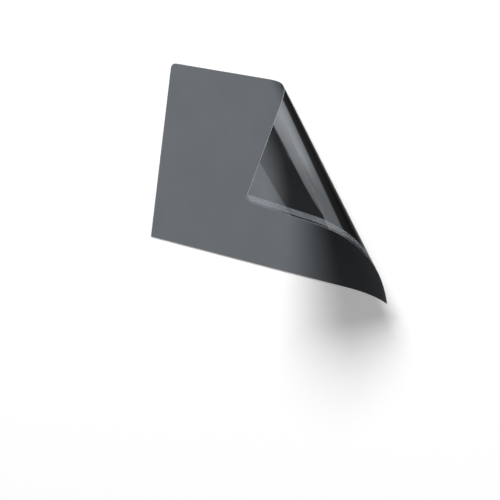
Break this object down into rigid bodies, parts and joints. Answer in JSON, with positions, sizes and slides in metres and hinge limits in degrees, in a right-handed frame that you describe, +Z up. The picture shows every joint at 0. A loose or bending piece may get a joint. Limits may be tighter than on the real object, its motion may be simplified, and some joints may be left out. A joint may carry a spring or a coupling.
{
  "type": "laptop privacy filter",
  "caption": "Thin grey privacy film for a laptop screen, with rounded top corners, clear adhesive strips along its side edges and one corner peeled up in a conical curl.",
  "frame": {"origin": "centre of the sheet's flat outline, on the surface that the sheet lies on", "axes": "+X along the width, towards the peeled side; +Y towards the top edge; +Z up, out of the sheet's front"},
  "size_m": [0.3494, 0.2327, 0.1249],
  "materials": {
    "film": "hazy matte grey front, glossy near-black back",
    "adhesive": "clear whitish adhesive"
  },
  "bodies": {
    "root": {"privacy_film": "film", "right_adhesive_strip": "adhesive", "left_adhesive_strip": "adhesive"}
  },
  "joints": []
}
